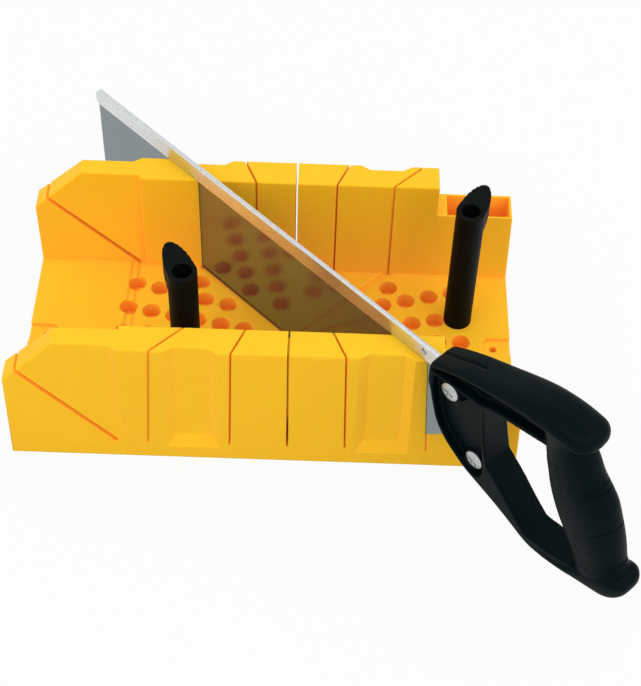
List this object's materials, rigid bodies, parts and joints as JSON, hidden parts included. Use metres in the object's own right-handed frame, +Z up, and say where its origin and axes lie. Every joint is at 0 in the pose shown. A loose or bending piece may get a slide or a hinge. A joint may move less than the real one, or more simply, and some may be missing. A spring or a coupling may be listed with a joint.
{
  "type": "mitre box with saw",
  "caption": "Clamping mitre box with slotted walls, a drilled bed, cam pins that hold the work and a back saw standing in a mitre slot.",
  "frame": {"origin": "where the upright saw slots cross in plan, on the bench plane", "axes": "+X along the box to its low end, +Y from the front wall to the back wall, +Z up"},
  "size_m": [0.3908, 0.3545, 0.152],
  "materials": {
    "box_plastic": "satin moulded ABS",
    "pin_plastic": "satin moulded nylon",
    "blade_steel": "polished",
    "back_steel": "galvanised",
    "handle_plastic": "satin moulded ABS",
    "screw_zinc": "bright zinc plate"
  },
  "bodies": {
    "box": {"mitre_box": "box_plastic"},
    "left_pin": {"cam_pin_left": "pin_plastic"},
    "right_pin": {"cam_pin_right": "pin_plastic"},
    "saw": {"saw_blade": "blade_steel", "saw_back": "back_steel", "saw_handle": "handle_plastic", "upper_handle_screw": "screw_zinc", "lower_handle_screw": "screw_zinc", "upper_sleeve_nut": "screw_zinc", "lower_sleeve_nut": "screw_zinc"}
  },
  "joints": [
    {"name": "saw_stroke", "type": "slide", "parent": "box", "child": "saw", "axis": [0.7071, -0.7071, 0], "range_m": [0, 0.1]},
    {"name": "left_pin_turn", "type": "hinge", "parent": "box", "child": "left_pin", "pos_m": [-0.068, -0.0352, 0.015], "axis": [0, 0, 1], "continuous": true},
    {"name": "right_pin_turn", "type": "hinge", "parent": "box", "child": "right_pin", "pos_m": [0.113, 0.0254, 0.015], "axis": [0, 0, 1], "continuous": true}
  ]
}
